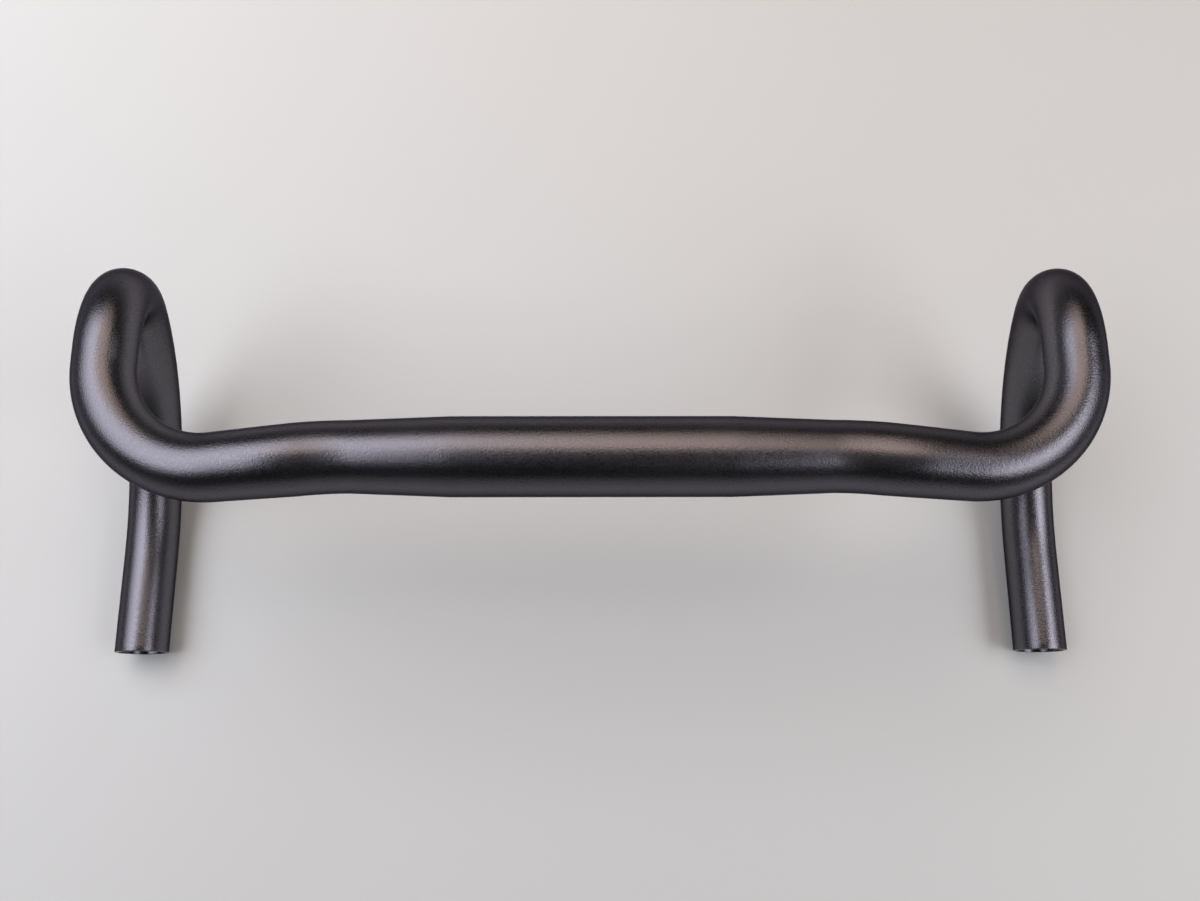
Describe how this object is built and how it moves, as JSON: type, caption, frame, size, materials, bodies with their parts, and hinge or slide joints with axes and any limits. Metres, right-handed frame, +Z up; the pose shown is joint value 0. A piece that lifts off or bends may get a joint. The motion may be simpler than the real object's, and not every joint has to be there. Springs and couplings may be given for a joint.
{
  "type": "drop handlebar",
  "caption": "Compact flared drop handlebar bent from one tapered black alloy tube, with open bar ends and a round stem clamp zone.",
  "frame": {"origin": "centre of the stem clamp zone, on the tube's axis", "axes": "+X along the clamp zone to the rider's right, +Y forward towards the hooks, +Z up, with the straight drop ends level"},
  "size_m": [0.4542, 0.1564, 0.1366],
  "materials": {
    "black_anodised": "bead-blasted and anodised matt black"
  },
  "bodies": {
    "root": {"handlebar": "black_anodised"}
  },
  "joints": []
}
